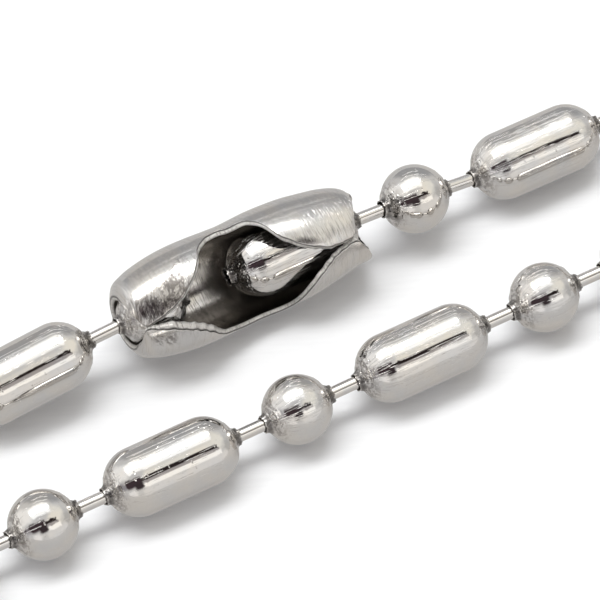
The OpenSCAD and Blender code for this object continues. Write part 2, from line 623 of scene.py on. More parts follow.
# The connector's outline: place as a share of its half length, radius as a share of its widest one
CONNECTOR_OUTLINE = (
    (-1.00, 0.54), (-0.95, 0.745), (-0.88, 0.83), (-0.79, 0.90), (-0.63, 0.97), (-0.47, 1.00),
    (-0.30, 0.995), (-0.05, 0.965), (0.20, 0.99), (0.45, 0.965), (0.61, 0.91), (0.77, 0.84),
    (0.88, 0.755), (0.94, 0.67), (1.00, 0.56),
)
# Its window: place as above, then the lower and the upper edge as shares of the widest radius
CONNECTOR_WINDOW = (
    (-1.06, -0.62, 0.50), (-1.00, -0.46, 0.29), (-0.95, -0.11, 0.01), (-0.85, -0.18, 0.03),
    (-0.72, -0.31, 0.14), (-0.59, -0.46, 0.34), (-0.48, -0.63, 0.54), (-0.40, -0.78, 0.72),
    (-0.33, -0.88, 0.89), (-0.22, -0.91, 0.955), (-0.05, -0.93, 0.935), (0.11, -0.945, 0.94),
    (0.19, -0.95, 0.83), (0.26, -0.93, 0.56), (0.38, -0.67, 0.26), (0.48, -0.45, 0.12),
    (0.62, -0.24, -0.01), (0.80, -0.16, -0.04), (0.87, -0.31, 0.31), (0.94, -0.52, 0.56),
    (1.00, -0.62, 0.62), (1.06, -0.70, 0.70),
)
# The cut face between the two faces of the sheet, in bands: depth as a share of the sheet, how far
# it bulges and how rough it is in millimetres, and how much painted shade darkens it
CUT_BANDS = (
    (0.16, 0.004, 0.006, 0.85), (0.26, 0.024, 0.022, 0.0), (0.55, 0.036, 0.032, 0.0),
    (0.85, 0.022, 0.022, 0.4),
)


@dataclass(frozen=True)
class Sheet:
    """A sheet bent round an axis: its outer face as a grid of points, and how each point is worked.

    The slant is how much further the inner face reaches than the outer one at a cut edge. Worked
    tells how dented the outer face is, where dark spots are partly painted shade, and the last field
    is a painted highlight on the inner face that lifts its painted shade; both run from 0 to 1.
    """

    outer: Points
    normal: Points
    angle: Points
    radius: Points
    slant: Points
    worked: Points
    painted_inner_highlight: Points
    rim_drop: float = 0.012
    inner_grain: Triple = (0.0, 0.0, 9.0)
    cut_grain: float = 4.0
    band_grain: float = 0.15

    def border(self) -> tuple[Points, Points]:
        """Walks once round the edge of the grid.

        Returns:
            The row and the column of each point of the edge.
        """
        rows, columns = self.angle.shape
        down, across = np.arange(rows), np.arange(columns)
        row = np.concatenate([down, 0 * across[1:] + rows - 1, down[-2::-1], 0 * across[-2:0:-1]])
        column = np.concatenate([0 * down, across[1:], 0 * down[1:] + columns - 1, across[-2:0:-1]])
        return row, column

    def away(self, row: Points, column: Points) -> Points:
        """Gives the direction out of the sheet at its edge.

        Args:
            row: Row of each point of the edge.
            column: Its column.

        Returns:
            Unit vectors that lie in the sheet.
        """
        rows, columns = self.angle.shape
        inner = self.outer[np.clip(row, 1, rows - 2), np.clip(column, 1, columns - 2)]
        inward, up = inner - self.outer[row, column], self.normal[row, column]
        inward -= (inward * up).sum(-1, keepdims=True) * up
        return -inward / np.linalg.norm(inward, axis=-1, keepdims=True)

    def grains(self, edge: Points) -> Points:
        """Lays the grain along the sheet on both faces, and across it on the cut bands.

        Args:
            edge: Number of each point of the edge.

        Returns:
            The grain's place at every point.
        """
        arc = (self.angle - math.pi) * self.radius
        face = np.stack([arc, self.outer[..., 0], self.radius], -1).reshape(-1, 3)
        cut = face[edge][:, [2, 1, 0]]
        bands = [cut + [self.cut_grain + self.band_grain * k, 0, 0] for k in range(len(CUT_BANDS))]
        return np.vstack([face, face + self.inner_grain, *bands])

    def thicken(self, wall: float, rng: np.random.Generator) -> Surface:
        """Gives the sheet its thickness, with a rough cut face all round.

        Args:
            wall: Thickness of the sheet.
            rng: Source of the cut face's small irregularities.

        Returns:
            The closed surface, in the sheet's own axes.
        """
        rows, columns = self.angle.shape
        row, column = self.border()
        edge, size = row * columns + column, rows * columns
        away, up = self.away(row, column), self.normal[row, column]
        ragged = rng.normal(0, 1, (len(edge), 1))
        ragged = (ragged + np.roll(ragged, 1, 0) + np.roll(ragged, -1, 0)) / 3
        reach = self.slant[row, column][:, None]
        face, under = self.outer.copy(), self.outer - self.normal * wall
        face[row, column] -= up * self.rim_drop
        under[row, column] += away * reach
        bands = [
            self.outer[row, column] - up * wall * depth + away * (bulge + rough * ragged + reach * depth)
            for depth, bulge, rough, _ in CUT_BANDS
        ]
        first = (np.arange(rows - 1)[:, None] * columns + np.arange(columns - 1)[None, :]).ravel()
        quads = np.stack([first, first + 1, first + columns + 1, first + columns], -1)
        band_rings = (2 * size + k * len(edge) + np.arange(len(edge)) for k in range(len(bands)))
        rings = [edge, *band_rings, size + edge]
        sides = [np.stack([a, b, np.roll(b, -1), np.roll(a, -1)], -1) for a, b in zip(rings, rings[1:])]
        # Painted shade: a dark line round the border of the outer face, and on the cut bands by their table
        rim = np.zeros((rows, columns))
        rim[row, column] = 1.0
        none, cuts = np.zeros(size), np.ones(len(edge) * len(bands))
        grain = self.grains(edge)
        return Surface(
            points=np.vstack([face.reshape(-1, 3), under.reshape(-1, 3), *bands]),
            faces=np.vstack([quads, quads[:, ::-1] + size, *sides]), grain=grain, spot=grain,
            crimp=np.concatenate([self.worked.ravel(), none, 0 * cuts]),
            cut=np.concatenate([none, none, cuts]),
            seam=np.concatenate([rim.ravel(), none, np.repeat([band[3] for band in CUT_BANDS], len(edge))]),
            # The inner face takes painted shade, less where its painted highlight lies
            inside=np.concatenate([none, 1 - self.painted_inner_highlight.ravel(), 0 * cuts]), wear=1.0,
        )


@dataclass(frozen=True)
class Connector:
    """The pressed sheet connector: a barrel of sheet, open along its window.

    Lengths are in millimetres, and angles in radians from the way that the window faces. A stretch
    along the barrel is in shares of its half length, and one across it is measured from a cut edge.
    """

    sizes: ChainSizes
    route: Route
    edge_columns: int = 36
    back_columns: int = 44
    crowding: float = 1.4
    back_start: float = math.radians(95.0)
    back_end: float = math.radians(265.0)
    window_steps: int = 8
    outline_steps: int = 12
    even_rows: int = 61
    row_gap: float = 0.006
    window_floor: float = 0.2
    sheet_seed: int = 61
    shear_seed: int = 62
    edge_zone: Stretch = (0.5, 0.0)
    flat_depth: float = 0.055
    flat_from: float = 0.08
    flat_width: float = 0.85
    flat_along: Stretch = (-0.46, -0.62)
    swell: float = 0.035
    swell_along: tuple[Stretch, ...] = ((0.27, 0.52), (0.95, 0.60))
    swell_across: Stretch = (1.35, 0.65)
    flange_lift: float = 0.26
    flange_along: Stretch = (0.76, 1.02)
    flange_turn: Stretch = (1.4, 0.0)
    rim_squeeze: float = 0.085
    rim_along: Stretch = (0.93, 1.0)
    rim_turn: Stretch = (3.4, 0.0)
    corner_trim: float = 0.16
    corner_zone: Stretch = (0.45, 0.0)
    bevel: float = 0.09
    lip_bevel: float = 0.17
    lip_along: tuple[Stretch, ...] = ((-0.92, -0.76), (-0.30, -0.46))
    lip_share: float = 0.5
    # The worked patch: dents, and dark spots that are partly painted shade
    worked_along: tuple[Stretch, ...] = ((-0.44, -0.58), (-1.0, -0.94))
    worked_across: Stretch = (1.10, 0.85)
    nick_along: tuple[Stretch, ...] = ((-0.93, -0.88), (-0.73, -0.78))
    nick_across: tuple[Stretch, ...] = ((0.75, 0.55), (0.12, 0.22))
    # An oval of painted highlight on the inner face: middle and half size in angle and share, and how sharply
    # it rises
    painted_highlight_middle: tuple[float, float] = (3.46, -0.37)
    painted_highlight_half: tuple[float, float] = (0.40, 0.20)
    painted_highlight_gain: float = 1.5

    def outline(self, along: Points) -> Points:
        """Gives the barrel's outer radius at places that are shares of its half length."""
        curve = spline(CONNECTOR_OUTLINE, self.outline_steps)
        return np.interp(along, curve[:, 0], curve[:, 1]) * self.sizes.connector_d / 2

    def rows(self, curve: Points) -> Points:
        """Chooses places for the rows of the mesh: the window's own points and even ones between.

        Args:
            curve: The window's smooth curve.

        Returns:
            The places, as shares of the half length.
        """
        kept = [-1.0]
        places = np.concatenate([np.clip(curve[:, 0], -1, 1), np.linspace(-1, 1, self.even_rows)])
        for place in np.unique(places):
            if place - kept[-1] > self.row_gap:
                kept.append(float(place))
        kept[-1] = 1.0
        return np.array(kept)

    def stations(self) -> tuple[Points, Points, Points]:
        """Draws the window's two long edges, with the small jags of the cut.

        Returns:
            Places along the barrel as shares, and the angles of the lower and the upper edge.
        """
        shear = np.random.default_rng(self.shear_seed)
        curve = spline(CONNECTOR_WINDOW, self.window_steps)
        share = self.rows(curve)
        along, radius = share * self.sizes.connector_len / 2, self.outline(share)
        widest = self.sizes.connector_d / 2
        reach = np.sqrt(radius**2 - (self.window_floor * widest) ** 2)
        edges = []
        for column in (1, 2):
            offset = np.clip(np.interp(share, curve[:, 0], curve[:, column]) * widest, -reach, reach)
            edges.append(np.arcsin(offset / radius) + Ripple(shear, CUT_JAGS).at(0 * share, along) / radius)
        return share, edges[0], edges[1]

    def angles(self, lower: Points, upper: Points) -> Points:
        """Spreads the columns round the sheet, closer together near its two cut edges.

        Args:
            lower: Angle of the window's lower edge in each row.
            upper: Angle of its upper edge.

        Returns:
            The angle of every point, one row for each station.
        """
        share = np.linspace(0, 1, self.edge_columns, endpoint=False)[None, :] ** self.crowding
        first = upper[:, None] + share * (self.back_start - upper)[:, None]
        back = np.tile(np.linspace(self.back_start, self.back_end, self.back_columns), (len(upper), 1))
        last = (lower + TURN)[:, None] + share * (self.back_end - TURN - lower)[:, None]
        return np.hstack([first, back, last[:, ::-1]])

    def form(self, rng: np.random.Generator) -> Sheet:
        """Forms the barrel with its flattened stretch, its swell, its flange and its squeezed rim.

        Args:
            rng: Source of its small irregularities.

        Returns:
            The sheet, in the connector's own axes.
        """
        share, lower, upper = self.stations()
        angle = self.angles(lower, upper)
        radius = self.outline(share)[:, None] + 0 * angle
        past_upper, past_lower = angle - upper[:, None], (lower + TURN)[:, None] - angle
        share = share[:, None]
        x = share * self.sizes.connector_len / 2 + 0 * angle
        slope = np.gradient(radius[:, 0], x[:, 0])[:, None]
        normal = np.stack([-slope + 0 * angle, np.sin(angle), np.cos(angle)], -1)
        normal /= np.linalg.norm(normal, axis=-1, keepdims=True)
        to_edge = np.minimum(past_upper, past_lower) * radius
        radius = radius + Ripple(rng, SHEET_DENTS).at(angle, x)
        radius = radius + faded(to_edge, self.edge_zone) * Ripple(rng, EDGE_WAVES).at(0 * angle, x)
        from_upper = past_upper * radius
        across = np.clip((from_upper - self.flat_from) / self.flat_width, 0, 1)
        radius = radius - self.flat_depth * (1 - across**2) * faded(share, self.flat_along)
        radius = radius + self.swell * faded(share, *self.swell_along) * faded(from_upper, self.swell_across)
        near_lower = faded(past_lower, self.flange_turn)
        radius = radius * (1 + self.flange_lift * near_lower * faded(share, self.flange_along))
        rim = faded(share, self.rim_along)
        radius = radius * (1 - self.rim_squeeze * rim * faded(past_upper, self.rim_turn))
        x = x - self.corner_trim * rim * faded(to_edge, self.corner_zone)
        worked = faded(share, *self.worked_along) * faded(from_upper, self.worked_across)
        nick = faded(share, *self.nick_along) * faded(past_lower * radius, *self.nick_across)
        # Painted highlight: within an oval the inner face's painted shade is lifted
        oval = zip((angle, share), self.painted_highlight_middle, self.painted_highlight_half)
        painted_inner_highlight = 1 - sum(((place - middle) / half) ** 2 for place, middle, half in oval)
        painted_inner_highlight = smooth_step(self.painted_highlight_gain * painted_inner_highlight)
        outer = np.stack([x, radius * np.sin(angle), radius * np.cos(angle)], -1)
        slant = self.bevel + self.lip_bevel * faded(share, *self.lip_along) * (near_lower > self.lip_share)
        return Sheet(outer, normal, angle, radius, slant, worked + nick, painted_inner_highlight)

    def build(self) -> Surface:
        """Forms the sheet, thickens it and puts it in its place.

        Returns:
            The connector's surface.
        """
        rng = np.random.default_rng(self.sheet_seed)
        surface = self.form(rng).thicken(self.sizes.connector_wall, rng)
        tilt = math.radians(90 - self.sizes.window_tilt)
        cos, sin = math.cos(tilt), math.sin(tilt)
        turn = np.array([[1, 0, 0], [0, cos, sin], [0, -sin, cos]])
        surface.points = surface.points @ turn + (*self.route.start[:2], self.sizes.connector_d / 2)
        return surface


class Graph:
    """Builds a node tree one node at a time."""

    def __init__(self, tree: Tree) -> None:
        """Empties a tree, to fill it."""
        self.tree = tree
        tree.nodes.clear()

    def put(self, value: object, socket: Socket) -> None:
        """Gives an input its value.

        Args:
            value: Another node's output, or a constant.
            socket: The input.
        """
        if isinstance(value, bpy.types.NodeSocket):
            self.tree.links.new(value, socket)
        else:
            socket.default_value = value

    def add(self, kind: str, inputs: Inputs | None = None, **settings: object) -> bpy.types.Node:
        """Adds a node.

        Args:
            kind: The node's type.
            inputs: Values or sockets for its inputs, by name or number.
            **settings: Its other settings.

        Returns:
            The node.
        """
        node = self.tree.nodes.new(kind)
        for name, value in settings.items():
            setattr(node, name, value)
        for name, value in (inputs or {}).items():
            self.put(value, node.inputs[name])
        return node

    def math(self, operation: str, *values: object) -> Socket:
        """Adds a Math node and gives its output."""
        return self.add("ShaderNodeMath", dict(enumerate(values)), operation=operation).outputs[0]

    def plus(self, first: object, second: object) -> Socket:
        """Adds two values."""
        return self.math("ADD", first, second)

    def minus(self, first: object, second: object) -> Socket:
        """Takes the second value from the first."""
        return self.math("SUBTRACT", first, second)

    def times(self, first: object, second: object) -> Socket:
        """Multiplies two values."""
        return self.math("MULTIPLY", first, second)

    def vector(self, operation: str, *values: object) -> Socket:
        """Adds a Vector Math node and gives its vector."""
        return self.add("ShaderNodeVectorMath", dict(enumerate(values)), operation=operation).outputs[0]

    def dot(self, first: object, second: object) -> Socket:
        """Gives the dot product of two vectors."""
        inputs = {0: first, 1: second}
        return self.add("ShaderNodeVectorMath", inputs, operation="DOT_PRODUCT").outputs["Value"]

    def ramp(self, value: object, low: float, high: float, start: float = 0.0, end: float = 1.0) -> Socket:
        """Maps a value smoothly from between low and high to between start and end."""
        inputs = {"Value": value, "From Min": low, "From Max": high, "To Min": start, "To Max": end}
        return self.add("ShaderNodeMapRange", inputs, interpolation_type="SMOOTHSTEP").outputs["Result"]

    def blend(self, share: object, first: object, second: object) -> Socket:
        """Mixes two colours and gives the output."""
        return self.add("ShaderNodeMix", {0: share, 6: first, 7: second}, data_type="RGBA").outputs[2]

    def noise(self, at: Socket, scale: object, detail: float, roughness: float = 0.5) -> bpy.types.Node:
        """Adds a Noise texture."""
        inputs = {"Vector": at, "Scale": scale, "Detail": detail, "Roughness": roughness}
        return self.add("ShaderNodeTexNoise", inputs)

    def attribute(self, name: str, output: str) -> Socket:
        """Reads one of the mesh's attributes."""
        return self.add("ShaderNodeAttribute", attribute_name=name).outputs[output]

    def group(self, tree: Tree, inputs: Inputs) -> bpy.types.NodeOutputs:
        """Uses a shared node group and gives its outputs."""
        return self.add("ShaderNodeGroup", inputs, node_tree=tree).outputs


class Kind(Enum):
    """Kinds of sockets on the shared node groups."""

    VALUE = "NodeSocketFloat"
    COLOUR = "NodeSocketColor"
    PLACE = "NodeSocketVector"


class Group(Graph):
    """A shared node group, with its inputs and outputs at hand by name."""

    def __init__(self, name: str, inputs: dict[str, object], outputs: dict[str, Kind]) -> None:
        """Makes the empty group.

        Args:
            name: Its name.
            inputs: Default of each input, by name: a number, a colour, or None for a place.
            outputs: Kind of each output, by name.
        """
        super().__init__(bpy.data.node_groups.new(name, "ShaderNodeTree"))
        for label, value in inputs.items():
            kind = Kind.PLACE if value is None else Kind.COLOUR if isinstance(value, tuple) else Kind.VALUE
            made = self.tree.interface.new_socket(label, in_out="INPUT", socket_type=kind.value)
            if value is not None:
                made.default_value = value
        for label, kind in outputs.items():
            self.tree.interface.new_socket(label, in_out="OUTPUT", socket_type=kind.value)
        self.given = self.add("NodeGroupInput").outputs
        self.results = self.add("NodeGroupOutput").inputs


class MetalEffects:
    """Node groups that the three steel finishes share."""

    scratch_limit = 0.74
    scratch_range = 0.2
    scratch_edge = 12.0
    even_stretch = (1.7, 1.3, 1.3)
    pit_edge = (0.08, 0.42)
    pit_depth = 0.6
    lump_scale = 0.8
    soil_and_shade_edge = (0.56, 0.44)
    cloud_edge = (0.3, 0.7)
    smear_scale = 3.1

    def __init__(self) -> None:
        """Builds each group once."""
        self.marks = self.build_marks()
        self.pits = self.build_pits()
        self.tint = self.build_tint()

    def build_marks(self) -> Tree:
        """Makes fine marks along the first axis of the grain: even ones and a few deeper scratches.

        Returns:
            The group.
        """
        graph = Group(
            "Tool marks",
            {"Grain": None, "Length": 0.6, "Width": 0.03, "Share": 0.2, "Depth": 0.002, "Even Depth": 0.0005},
            {"Height": Kind.VALUE, "Mask": Kind.VALUE},
        )
        given = graph.given
        size = graph.add("ShaderNodeCombineXYZ", {0: given["Length"], 1: given["Width"], 2: given["Width"]})
        at = graph.vector("DIVIDE", given["Grain"], size.outputs[0])
        lines = graph.noise(at, 1.0, detail=1.0).outputs["Fac"]
        limit = graph.minus(self.scratch_limit, graph.times(given["Share"], self.scratch_range))
        scratch = graph.ramp(graph.times(graph.minus(lines, limit), self.scratch_edge), 0.0, 1.0)
        even = graph.noise(graph.vector("MULTIPLY", at, self.even_stretch), 1.0, detail=3.0).outputs["Fac"]
        fine = graph.times(even, given["Even Depth"])
        graph.put(graph.minus(fine, graph.times(scratch, given["Depth"])), graph.results["Height"])
        graph.put(scratch, graph.results["Mask"])
        return graph.tree

    def build_pits(self) -> Tree:
        """Makes small pits and lumps, more of them where the amount is high.

        Returns:
            The group.
        """
        graph = Group(
            "Pits and lumps",
            {"Grain": None, "Size": 0.1, "Amount": 0.3, "Depth": 0.004},
            {"Height": Kind.VALUE, "Mask": Kind.VALUE},
        )
        given, amount = graph.given, graph.given["Amount"]
        scale = graph.math("DIVIDE", 1.0, given["Size"])
        cells = graph.add("ShaderNodeTexVoronoi", {"Vector": given["Grain"], "Scale": scale}).outputs
        near = graph.ramp(cells["Distance"], *self.pit_edge, start=1.0, end=0.0)
        chosen = graph.add("ShaderNodeSeparateColor", {0: cells["Color"]}).outputs[0]
        pit = graph.times(near, graph.math("LESS_THAN", chosen, amount))
        lump_scale = graph.times(scale, self.lump_scale)
        lumps = graph.noise(given["Grain"], lump_scale, detail=4.0, roughness=0.6).outputs["Fac"]
        # Where the lumps get dark spots: partly dirt, partly painted shade
        soiled_and_shaded = graph.times(graph.ramp(lumps, *self.soil_and_shade_edge), amount)
        height = graph.minus(graph.times(graph.minus(lumps, 0.5), amount), graph.times(pit, self.pit_depth))
        graph.put(graph.times(height, given["Depth"]), graph.results["Height"])
        graph.put(soiled_and_shaded, graph.results["Mask"])
        return graph.tree

    def build_tint(self) -> Tree:
        """Makes a cloudy change of colour and gloss.

        Returns:
            The group.
        """
        graph = Group(
            "Clouded steel",
            {
                "Grain": None, "Size": 0.8, "Cool": (0.70, 0.70, 0.70, 1), "Warm": (0.76, 0.72, 0.66, 1),
                "Dull": 0.22, "Bright": 0.12,
            },
            {"Color": Kind.COLOUR, "Roughness": Kind.VALUE},
        )
        given = graph.given
        scale = graph.math("DIVIDE", 1.0, given["Size"])
        cloud = graph.noise(given["Grain"], scale, detail=3.0).outputs["Fac"]
        cloud = graph.ramp(cloud, *self.cloud_edge)
        smear_scale = graph.times(scale, self.smear_scale)
        smear = graph.noise(given["Grain"], smear_scale, detail=4.0, roughness=0.6).outputs["Fac"]
        graph.put(graph.blend(cloud, given["Cool"], given["Warm"]), graph.results["Color"])
        gloss = graph.times(smear, graph.minus(given["Dull"], given["Bright"]))
        graph.put(graph.plus(given["Bright"], gloss), graph.results["Roughness"])
        return graph.tree


CUT_COLOUR = (0.94, 0.925, 0.90, 1)
SCRATCH_COLOUR = (0.30, 0.27, 0.25, 1)
# Dark spots on crimped and worked metal: partly dirt, partly painted shade
SOIL_AND_SHADE_COLOUR = (0.15, 0.13, 0.12, 1)
# Painted shade for the necks' creases, the hollows and the cut edges
CREASE_SHADE_COLOUR = (0.05, 0.043, 0.04, 1)


@dataclass(frozen=True)
class SteelFinish:
    """A steel finish, with its real sizes in millimetres."""

    name: str
    cool: Triple
    warm: Triple
    bright: float
    dull: float
    mark_length: float
    mark_width: float
    mark_share: float
    mark_depth: float
    even_depth: float
    cloud_size: float
    pit_depth: float
    soil_and_shade: float = 0.45
    cut_rough: float = 0.0
    inner_shade: float = 1.0
    pit_size: float = 0.16
    least_pits: float = 0.03
    shear_size: float = 0.11
    shear_depth: float = 0.08
    cut_even_depth: float = 0.012
    cut_share: float = 0.85
    crease_shade_share: float = 0.85
    scratch_share: float = 0.10
    cut_scratch_share: float = 0.5
    crimp_rough: float = 0.03

    def make(self, effects: MetalEffects) -> Material:
        """Builds the material.

        Args:
            effects: The shared node groups.

        Returns:
            The material.
        """
        material = bpy.data.materials.new(self.name)
        material.use_nodes = True
        graph = Graph(material.node_tree)
        grain, spot = (graph.attribute(label, "Vector") for label in PLACES)
        crimp, cut, seam, inside, wear = (graph.attribute(label, "Fac") for label in MASKS)
        tint = graph.group(effects.tint, {
            "Grain": grain, "Size": self.cloud_size, "Cool": (*self.cool, 1), "Warm": (*self.warm, 1),
            "Dull": self.dull, "Bright": self.bright,
        })
        even_depth = graph.plus(graph.times(wear, self.even_depth), graph.times(cut, self.cut_even_depth))
        marks = graph.group(effects.marks, {
            "Grain": grain, "Length": self.mark_length, "Width": self.mark_width,
            "Share": graph.times(wear, self.mark_share), "Depth": self.mark_depth, "Even Depth": even_depth,
        })
        amount = graph.plus(crimp, self.least_pits)
        spots = graph.group(
            effects.pits, {"Grain": spot, "Size": self.pit_size, "Amount": amount, "Depth": self.pit_depth}
        )
        shear = graph.group(
            effects.pits, {"Grain": grain, "Size": self.shear_size, "Amount": cut, "Depth": self.shear_depth}
        )
        height = graph.plus(graph.plus(marks["Height"], spots["Height"]), shear["Height"])
        # Painted shade: the inner face is darkened to the inner shade share of the warm tone where the inside
        # mask is full
        inner = (*(self.inner_shade * c for c in self.warm), 1)
        colour = graph.blend(inside, tint["Color"], inner)
        colour = graph.blend(graph.times(cut, self.cut_share), colour, CUT_COLOUR)
        scratches = graph.plus(self.scratch_share, graph.times(cut, self.cut_scratch_share))
        colour = graph.blend(graph.times(marks["Mask"], scratches), colour, SCRATCH_COLOUR)
        # Dark spots on lumps of crimped and worked metal: partly dirt, partly painted shade
        colour = graph.blend(graph.times(spots["Mask"], self.soil_and_shade), colour, SOIL_AND_SHADE_COLOUR)
        # Painted shade in the necks' creases, the hollows and along the cut edges
        colour = graph.blend(graph.times(seam, self.crease_shade_share), colour, CREASE_SHADE_COLOUR)
        rough = graph.plus(tint["Roughness"], graph.times(crimp, self.crimp_rough))
        rough = graph.plus(rough, graph.times(cut, self.cut_rough))
        bump = graph.add("ShaderNodeBump", {"Height": height, "Distance": MM, "Strength": 1.0})
        shader = graph.add(
            "ShaderNodeBsdfPrincipled",
            {"Base Color": colour, "Metallic": 1.0, "Roughness": rough, "Normal": bump.outputs["Normal"]},
        )
        graph.add("ShaderNodeOutputMaterial", {"Surface": shader.outputs[0]})
        return material


BEAD_STEEL = SteelFinish(
    "bead steel", cool=(0.71, 0.705, 0.70), warm=(0.76, 0.73, 0.69), bright=0.03, dull=0.08,
    mark_length=1.10, mark_width=0.026, mark_share=0.7, mark_depth=0.0032, even_depth=0.0005,
    cloud_size=0.9, pit_depth=0.022,
)
PIN_STEEL = SteelFinish(
    "pin steel", cool=(0.74, 0.73, 0.72), warm=(0.78, 0.75, 0.71), bright=0.10, dull=0.18,
    mark_length=0.8, mark_width=0.03, mark_share=0.5, mark_depth=0.001, even_depth=0.0006,
    cloud_size=0.5, pit_depth=0.002,
)
# The connector's inner face gets painted shade at 0.6 of its warm tone
CONNECTOR_STEEL = SteelFinish(
    "connector steel", cool=(0.68, 0.675, 0.67), warm=(0.73, 0.70, 0.66), bright=0.12, dull=0.22,
    mark_length=0.9, mark_width=0.036, mark_share=0.9, mark_depth=0.0050, even_depth=0.0036,
    cloud_size=1.1, pit_depth=0.008, soil_and_shade=0.65, cut_rough=0.20, inner_shade=0.60,
)


@dataclass(frozen=True)
class Card:
    """A soft-edged card of light or dark round the object, with its angles in degrees."""

    name: str
    azimuth: float
    elevation: float
    roll: float
    half_width: float
    half_height: float
    softness: float
    colour: Triple
    strength: float = 1.0
    share: float = 1.0
    least_depth: float = 0.05
    front: float = 0.06
    edge: tuple[float, float] = (0.3, 1.7)

    def axes(self) -> tuple[Vector, Vector, Vector]:
        """Gives the directions to the card's middle, along its width and along its height.

        Returns:
            Three unit vectors.
        """
        a, e, roll = (math.radians(v) for v in (self.azimuth, self.elevation, self.roll))
        middle = Vector((math.sin(a) * math.cos(e), -math.cos(a) * math.cos(e), math.sin(e)))
        right = Vector((math.cos(a), math.sin(a), 0.0))
        upward = middle.cross(right)
        width = right * math.cos(roll) + upward * math.sin(roll)
        return middle, width, upward * math.cos(roll) - right * math.sin(roll)

    def over(self, graph: Graph, direction: Socket, below: object) -> Socket:
        """Lays the card over what is behind it.

        Args:
            graph: The world's graph.
            direction: Direction looked in.
            below: Colour behind the card.

        Returns:
            The colour with the card.
        """
        middle, width, height = self.axes()
        depth = graph.dot(direction, tuple(middle))
        ahead = graph.math("MAXIMUM", depth, self.least_depth)
        squares = []
        for axis, half in ((width, self.half_width), (height, self.half_height)):
            ratio = graph.math("ABSOLUTE", graph.math("DIVIDE", graph.dot(direction, tuple(axis)), ahead))
            past = graph.minus(ratio, math.tan(math.radians(half)) - self.softness)
            past = graph.math("MAXIMUM", past, 0.0)
            squares.append(graph.times(past, past))
        spread = graph.math("SQRT", graph.plus(*squares))
        low, high = (self.softness * side for side in self.edge)
        mask = graph.ramp(spread, low, high, start=self.share, end=0.0)
        mask = graph.times(mask, graph.math("GREATER_THAN", depth, self.front))
        return graph.blend(mask, below, (*(self.strength * c for c in self.colour), 1))


# Each later card lies over the ones before it
CARDS = (
    Card("right wall", 66, 0, 0, 24, 24, 0.30, (0.545, 0.54, 0.53)),
    Card("back wall", 153, 12, 0, 36, 30, 0.35, (0.41, 0.41, 0.415)),
    Card("left back window", -127, 15, 0, 18, 40, 0.30, (1.08, 1.07, 1.06)),
    Card("left edge", -81, 12, 47, 15, 11, 0.18, (0.36, 0.34, 0.36)),
    Card("front glow", -44, 6, 0, 13, 12, 0.15, (0.98, 0.96, 0.95)),
    Card("ceiling glow", -120, 27, 72, 32, 20, 0.25, (1.08, 1.06, 1.03)),
    Card("warm ceiling", 58, 50, 0, 33, 22, 0.30, (1.0, 0.965, 0.88)),
    Card("front wall", 24, 12, -10, 36, 14, 0.25, (0.86, 0.84, 0.82)),
    Card("front window", 19, 32, -12, 24, 6.4, 0.08, (1.25, 1.22, 1.17)),
    Card("back strip", 161, 28, 10, 17, 1.1, 0.012, (1.35, 1.35, 1.33)),
    Card("upper strip", 161, 43, 12, 19, 1.1, 0.012, (1.5, 1.5, 1.47)),
    Card("softbox", -165, 73.5, -22, 31, 21, 0.10, (1.0, 0.995, 0.98), strength=1.38),
    Card("softbox core", -165, 71.5, -22, 27, 9, 0.08, (1.0, 0.995, 0.98), strength=7.1),
    Card("grey line", 19, 44, -14, 22, 4.5, 0.05, (0.36, 0.33, 0.335), share=0.85),
    Card("dark line", 16.5, 54, -14, 22, 5.6, 0.035, (0.03, 0.022, 0.022)),
    Card("dark front", -51, 42, 39, 28, 14.5, 0.13, (0.06, 0.042, 0.048)),
    Card("dark low", -24, 37, 20, 14, 11.5, 0.12, (0.05, 0.038, 0.042)),
)
# The floor's colours between which its fibres change: as seen, and a darker grey that only the steel's
# reflections see, a painted reflection tone
PAPER = ((0.86, 0.873, 0.90, 1), (0.88, 0.893, 0.918, 1))
PAINTED_REFLECTION_PAPER = ((0.10, 0.099, 0.098, 1), (0.12, 0.119, 0.118, 1))
# Painted light: a glow that the floor gives off only in the steel's reflections
PAINTED_REFLECTION_GLOW = (0.446, 0.434, 0.424, 1)
NO_GLOW = (0.0, 0.0, 0.0, 1)


